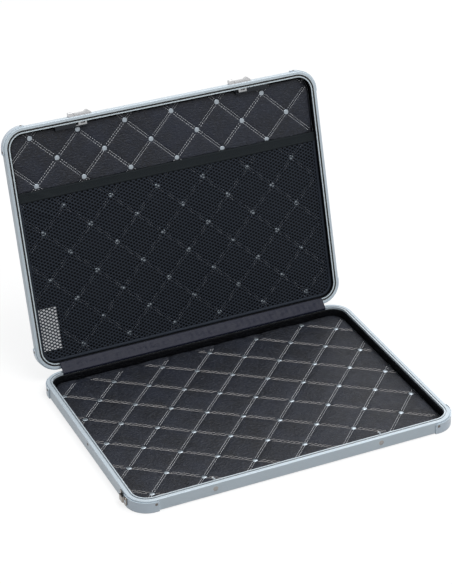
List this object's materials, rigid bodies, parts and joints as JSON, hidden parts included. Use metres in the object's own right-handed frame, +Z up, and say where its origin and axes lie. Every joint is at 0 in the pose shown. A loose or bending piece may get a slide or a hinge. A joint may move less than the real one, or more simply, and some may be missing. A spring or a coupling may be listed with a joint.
{
  "type": "laptop hard case",
  "caption": "Slim aluminium-framed hard case for a laptop, with a quilted lining, a net pocket in the hinged lid and sliding latches over strike hooks.",
  "frame": {"origin": "centre of the base panel's underside", "axes": "+X to the right along the front, +Y to the hinge side, +Z up"},
  "size_m": [0.4088, 0.385, 0.3058],
  "materials": {
    "frame": "satin anodised extrusion",
    "panel": "satin anodised sheet",
    "cap": "satin anodised pressing",
    "rivet": "dull blind rivet",
    "bright_rivet": "polished head",
    "lining": "quilted leatherette",
    "seal": "black moulded seal",
    "hook": "bright plated steel",
    "loop": "plated steel",
    "strip": "satin tape",
    "hinge": "plain steel",
    "net": "open knitted mesh",
    "band": "woven elastic",
    "label": "plain white cloth",
    "housing": "moulded",
    "latch": "satin metal"
  },
  "bodies": {
    "base": {"base_frame": "frame", "base_panel": "panel", "base_floor_lining": "lining", "base_wall_lining": "lining", "base_cap_front_left": "cap", "base_cap_front_right": "cap", "base_cap_back_left": "cap", "base_cap_back_right": "cap", "base_cap_rivets": "rivet", "base_side_rivets": "rivet", "strike_left": "hook", "strike_right": "hook", "strike_rivets": "bright_rivet", "strap_loop_left": "loop", "strap_loop_right": "loop", "strap_loop_rivets": "rivet", "hinge_leaf_base": "hinge", "hinge_pin": "hinge", "hinge_rivets_base": "hinge", "hinge_strip": "strip"},
    "lid": {"lid_frame": "frame", "lid_panel": "panel", "lid_lining": "lining", "lid_wall_lining": "lining", "lid_gasket": "seal", "lid_cap_front_left": "cap", "lid_cap_front_right": "cap", "lid_cap_back_left": "cap", "lid_cap_back_right": "cap", "lid_cap_rivets": "rivet", "hinge_leaf_lid": "hinge", "hinge_rivets_lid": "hinge", "pocket_net": "net", "pocket_band": "band", "label_tag": "label", "latch_plate_left": "latch", "latch_plate_right": "latch", "latch_screws_left": "rivet", "latch_screws_right": "rivet", "latch_housing_left": "housing", "latch_housing_right": "housing", "latch_spring_left": "hook", "latch_spring_right": "hook"},
    "latch_slide_left": {"latch_thumb_left": "latch", "latch_bolt_left": "hook"},
    "latch_slide_right": {"latch_thumb_right": "latch", "latch_bolt_right": "hook"}
  },
  "joints": [
    {"name": "lid_hinge", "type": "hinge", "parent": "base", "child": "lid", "pos_m": [0, 0.1486, 0.01495], "axis": [1, 0, 0], "range_deg": [0, 105.1], "deforming": ["hinge_strip"]},
    {"name": "left_latch_slide", "type": "slide", "parent": "lid", "child": "latch_slide_left", "axis": [-1, 0, 0], "range_m": [0, 0.003], "stiffness_N_per_m": 150, "springref_m": -0.003, "deforming": ["latch_spring_left"]},
    {"name": "right_latch_slide", "type": "slide", "parent": "lid", "child": "latch_slide_right", "axis": [-1, 0, 0], "range_m": [0, 0.003], "stiffness_N_per_m": 150, "springref_m": -0.003, "deforming": ["latch_spring_right"]}
  ]
}
